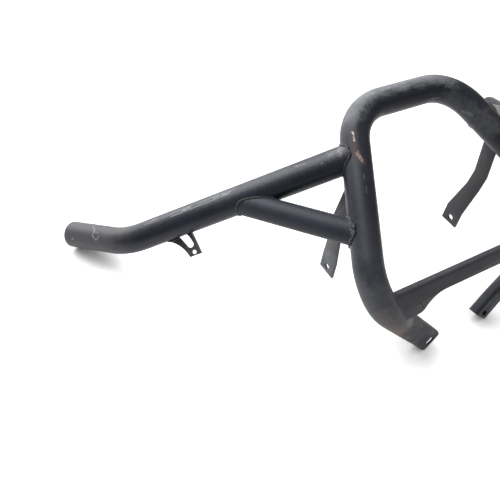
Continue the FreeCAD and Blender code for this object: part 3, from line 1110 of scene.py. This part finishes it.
# scraped lengthwise on top, a scribbled scratch and a dirt film at the outer end, chips and rust at the root
WING_MARKS = (
    Mark(Wear.DUST, (-330, 80, 166), (-165, 14, 264), 24, cover=0.6, strength=0.27, grain=1.8, soft=0.5),
    Mark(Wear.DIRT, (-524, 206, 36), (-462, 150, 80), 66, cover=1.0, strength=0.2, grain=14, soft=1.0),
    Mark(
        Wear.SCUFF, (-417, 114.6, 115), (-290, 68.7, 188), 10,
        cover=0.55, strength=0.42, grain=1.6, stretch=18,
    ),
    Mark(
        Wear.SCUFF, (-381, 95, 137.5), (-300, 65.3, 184.2), 2.6,
        cover=0.9, strength=0.55, grain=1.2, stretch=20,
    ),
    Mark(
        Wear.SCUFF, (-307, 70.4, 179.9), (-297, 66.8, 185.6), 5.5,
        cover=0.8, strength=0.65, grain=2, stretch=3,
    ),
    Mark(
        Wear.SCUFF, (-319, 75.9, 172.5), (-312, 73.3, 176.6), 4.5,
        cover=0.8, strength=0.6, grain=2, stretch=3,
    ),
    Mark(
        Wear.SCUFF, (-364, 92, 146.7), (-353, 88, 153), 5.5, cover=0.75, strength=0.65, grain=2, stretch=3
    ),
    Mark(
        Wear.SCUFF, (-405, 112.3, 121), (-397, 109.3, 126), 4.5, cover=0.7, strength=0.5, grain=2, stretch=3
    ),
    *trail(
        Wear.SCUFF,
        ((-483, 186, 63.3), (-485.3, 170.3, 68.7), (-491, 164.5, 65), (-488.8, 154, 65), (-482.8, 154.6, 72)),
        3.0,
        cover=0.75,
        strength=0.8,
        grain=1.2,
    ),
    *trail(
        Wear.SCUFF,
        (
            (-480.5, 178, 68.5),
            (-487.5, 171, 66.5),
            (-482.5, 162.5, 71.2),
            (-486, 152, 67.5),
            (-480, 148.5, 71.5),
        ),
        2.2,
        cover=0.7,
        strength=0.6,
        grain=1.2,
    ),
    Mark(Wear.SCUFF, (-521, 195, 35.5), (-517, 193, 39), 4, cover=0.6, grain=1.5),
    Mark(
        Wear.SCUFF, (-208, 33.7, 237.2), (-197.7, 28, 243.7), 6,
        cover=0.6, strength=0.5, grain=1.6, stretch=4,
    ),
    Mark(Wear.SCUFF, (-181.5, 10.6, 252.9), (-180.5, 10.2, 253.5), 2.4, strength=0.6),
    Mark(Wear.BARE, (-150, 18, 269), (-157, 4, 267.5), 13, cover=0.5, strength=0.45, grain=1.8),
    Mark(Wear.SCUFF, (-150, 10, 270), (-166, 16, 262), 15, cover=0.55, strength=0.5, grain=2, soft=0.4),
    Mark(Wear.RUST, (-148, 18, 268), (-153, 6, 268), 10, cover=0.45, strength=0.8, grain=2.5),
)

# painted shade in the gap under the upper weld, spatter and pinholes at the lower one
BRACE_MARKS = (
    # painted shade in the gap under the upper weld
    Mark(Wear.PIT, (-291.8, 36, 165.4), (-290, 33, 165), 4),
    Mark(Wear.DUST, (-185, -77, 228), (-197, -104, 222), 9, cover=0.5, grain=1.6),
    Mark(Wear.PIT, (-186, -78, 228), (-198, -104, 221), 8, cover=0.45, grain=1.4),
)

# a struck place on the left ear, painted shade in the gap at the flange's end, dust on the left tab
SHEET_MARKS = (
    Mark(Wear.DUST, (-361, 47.5, 92.8), (-366, 62, 124), 30, cover=1.0, strength=0.3, grain=6, soft=1.0),
    Mark(Wear.PIT, (-126.4, -208.8, 152.5), (-122.9, -213, 145.6), 4.8, cover=0.65, grain=1.8),
    Mark(Wear.SCUFF, (-127, -209.5, 151.4), (-125, -212, 147), 2.6, cover=0.55, grain=1.2),
    # painted shade in the gap at the flange's end
    Mark(Wear.PIT, (-168.5, -189.4, 175), (-166, -189.4, 175), 3.5),
)

# the left strap is greyed at its tip and scratched across
STRAP_MARKS = (
    Mark(Wear.DUST, (-149, -40, 68), (-147.5, -46, 26), 42, cover=1.0, strength=0.75, grain=8, soft=1.0),
    Mark(Wear.SCUFF, (-148.1, -23.1, 64.8), (-148.6, -37, 71), 1.8, grain=1, stretch=6),
    Mark(Wear.SCUFF, (-148.1, -26, 68), (-148.6, -34, 72), 1.4, cover=0.7, grain=1, stretch=6),
)

# rust where the chips run over the beads, dust and pinholes at the lower brace weld, painted shade in two
# unfilled ends
WELD_MARKS = (
    Mark(Wear.RUST, (140, -8, 277), (148, -3, 273), 8, cover=0.75),
    Mark(Wear.RUST, (-146, 12, 272), (-150, 0, 270), 8, cover=0.55, grain=2),
    Mark(Wear.DUST, (-185, -77, 228), (-197, -104, 222), 12, cover=0.5, grain=1.6),
    Mark(Wear.PIT, (-186, -78, 228), (-198, -104, 221), 12, cover=0.45, grain=1.4),
    # painted shade in the two unfilled bead ends
    Mark(Wear.PIT, (-159.1, -13.9, 240.8), (-157, -15, 243), 4.5),
    Mark(Wear.PIT, (-199, -103, 206.8), (-198, -104, 209), 4.5),
)


@dataclass
class Bumper:
    """The whole bumper: its tubes, sheet pieces and weld beads, with their finishes."""

    tube: BentTube
    sheets: SheetPieces
    beads: WeldBeads

    def finishes(self) -> dict[str, bpy.types.Material]:
        """Make the finishes, each worn as its pieces are.

        Returns:
            The materials by name.
        """
        paints = (
            # sprayed tube: blue-black with a low sheen, greyed by road grime towards the front
            SatinPaint(
                "satin_charcoal_hoop", "#20222b", "#2b2e38", "#5a5b61",
                0.40, HOOP_MARKS, grime=0.5, gloss=0.32,
            ),
            # sprayed tube: the darkest and glossiest, so that scrapes stand out on it
            SatinPaint(
                "satin_charcoal_left_wing", "#1b1e2a", "#262936", "#5e6068",
                0.40, WING_MARKS, gloss=0.36,
            ),
            # the same spray with only light handling
            SatinPaint("satin_charcoal_right_wing", "#1b1e2a", "#262936", "#5e6068", 0.40, gloss=0.36),
            # thinner coat on the braces: a shade lighter and duller
            SatinPaint(
                "satin_charcoal_brace", "#22252e", "#30343f", "#5e6068",
                0.52, BRACE_MARKS, gloss=0.32,
            ),
            # sprayed sheet: flat neutral charcoal, nearly without sheen on the broad faces
            SatinPaint(
                "satin_charcoal_sheet", "#2c2d32", "#37383d", "#626367",
                0.46, SHEET_MARKS, grime=0.15,
            ),
            # the left flat bar: a mid grey, dusty skin, lighter than the right one
            SatinPaint("satin_grey_left_strap", "#34353a", "#404146", "#707072", 0.50, STRAP_MARKS),
            # the right flat bar: darker and plainer
            SatinPaint("satin_grey_right_strap", "#2a2a2e", "#343438", "#5c5d61", 0.50),
            # spray over coarse weld metal: broken glints, pinholes and caught dust
            SatinPaint(
                "painted_weld_metal", "#26272c", "#35363b", "#6a6a6c",
                0.42, WELD_MARKS, peel=0.3, pits=0.6,
            ),
        )
        return {paint.name: paint.build() for paint in paints}

    def weld_paths(self) -> dict[str, tuple[list[Vector], Vector]]:
        """Find the right-hand welds' paths, upright in millimetres.

        Returns:
            Each weld's path and the direction that its drops lie round, by name.
        """
        root, run, leg = LAYOUT.wing_root(), LAYOUT.wing_run(), LAYOUT.leg()
        high, low = LAYOUT.brace_ends()
        down = (low - high).normalized()
        dip = math.radians(LAYOUT.strap_dip)
        strap_run = Vector((0, math.cos(dip), -math.sin(dip)))
        strap_rise = Vector((0, math.sin(dip), math.cos(dip)))
        strap_root = LAYOUT.top() + leg * LAYOUT.strap_down_leg
        beads = self.beads
        hoop_r, wing_r, brace_r = LAYOUT.hoop_radius, LAYOUT.wing_radius, LAYOUT.brace_radius
        bar = beads.bar(strap_rise, Vector((1, 0, 0)), LAYOUT.strap_width, LAYOUT.strap_thickness)
        return {
            "wing_to_hoop_weld": (
                beads.joint(root, run, beads.ring(run, wing_r), leg, hoop_r, LAYOUT.cope_start),
                run,
            ),
            "brace_to_hoop_weld": (
                beads.joint(low, -down, beads.ring(down, brace_r), leg, hoop_r, 0.0),
                down,
            ),
            "brace_to_wing_weld": (
                beads.joint(high, down, beads.ring(down, brace_r), run, wing_r, 0.0),
                down,
            ),
            "strap_to_hoop_weld": (beads.joint(strap_root, strap_run, bar, leg, hoop_r, 0.0), strap_run),
        }

    def build(self) -> None:
        """Build and dress every piece."""
        finish = self.finishes()
        weld_metal = finish["painted_weld_metal"]
        straps = {Side.LEFT: "satin_grey_left_strap", Side.RIGHT: "satin_grey_right_strap"}
        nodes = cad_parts
        self.tube.build("main_hoop", "painted_tube", finish["satin_charcoal_hoop"])
        self.sheets.build("cross_plate", "painted_sheet", finish["satin_charcoal_sheet"])
        for side in Side:
            dress(nodes[f"{side.word}_wing_tube"], finish[f"satin_charcoal_{side.word}_wing"])
            dress(nodes[f"{side.word}_brace_tube"], finish["satin_charcoal_brace"])
            tab_weld = f"{side.word}_tab_to_wing_weld"
            keep(self.beads.uneven(tab_weld, weld_metal), tab_weld)
            self.sheets.build(f"{side.word}_wing_tab", "painted_sheet", finish["satin_charcoal_sheet"])
            self.sheets.build(f"{side.word}_mount_strap", "worn_flat_bar", finish[straps[side]])
        for seed, (weld, (path, axis)) in enumerate(self.weld_paths().items()):
            rested = [LAYOUT.place(point) for point in path]
            kind = LUMPY_BEAD if weld.startswith("brace_to_hoop") else STITCHED_BEAD
            bead = self.beads.build(f"right_{weld}", rested, LAYOUT.turn(axis), kind, seed, weld_metal)
            self.keep_pair(bead, weld)
        plate_weld = "plate_to_hoop_weld"
        sunk = LAYOUT.plate_inward() * (DRESSED_BEAD.sink * MM)
        line = [point + sunk for point in self.beads.centre_line(f"right_{plate_weld}")]
        across = Vector((1, 0, 0))
        hoop_paint = finish["satin_charcoal_hoop"]
        bead = self.beads.build(f"right_{plate_weld}", line, across, DRESSED_BEAD, 0, hoop_paint)
        self.keep_pair(bead, plate_weld)

    def keep_pair(self, bead: bpy.types.Object, weld: str) -> None:
        """Let a right-hand bead and its mirror image stand for their CAD nodes.

        Args:
            bead: The right-hand bead.
            weld: The weld's name without its side.
        """
        keep(bead, f"right_{weld}")
        keep(self.beads.twin(bead, f"left_{weld}_run"), f"left_{weld}")


def main() -> None:
    """Build the bumper and the studio."""
    logging.basicConfig(level=logging.INFO, format="%(name)s: %(message)s")
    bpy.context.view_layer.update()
    Bumper(BentTube(), SheetPieces(), WeldBeads()).build()
    studio = Studio()
    studio.camera()
    studio.floor()
    studio.lights()


if __name__ == "__main__":
    main()
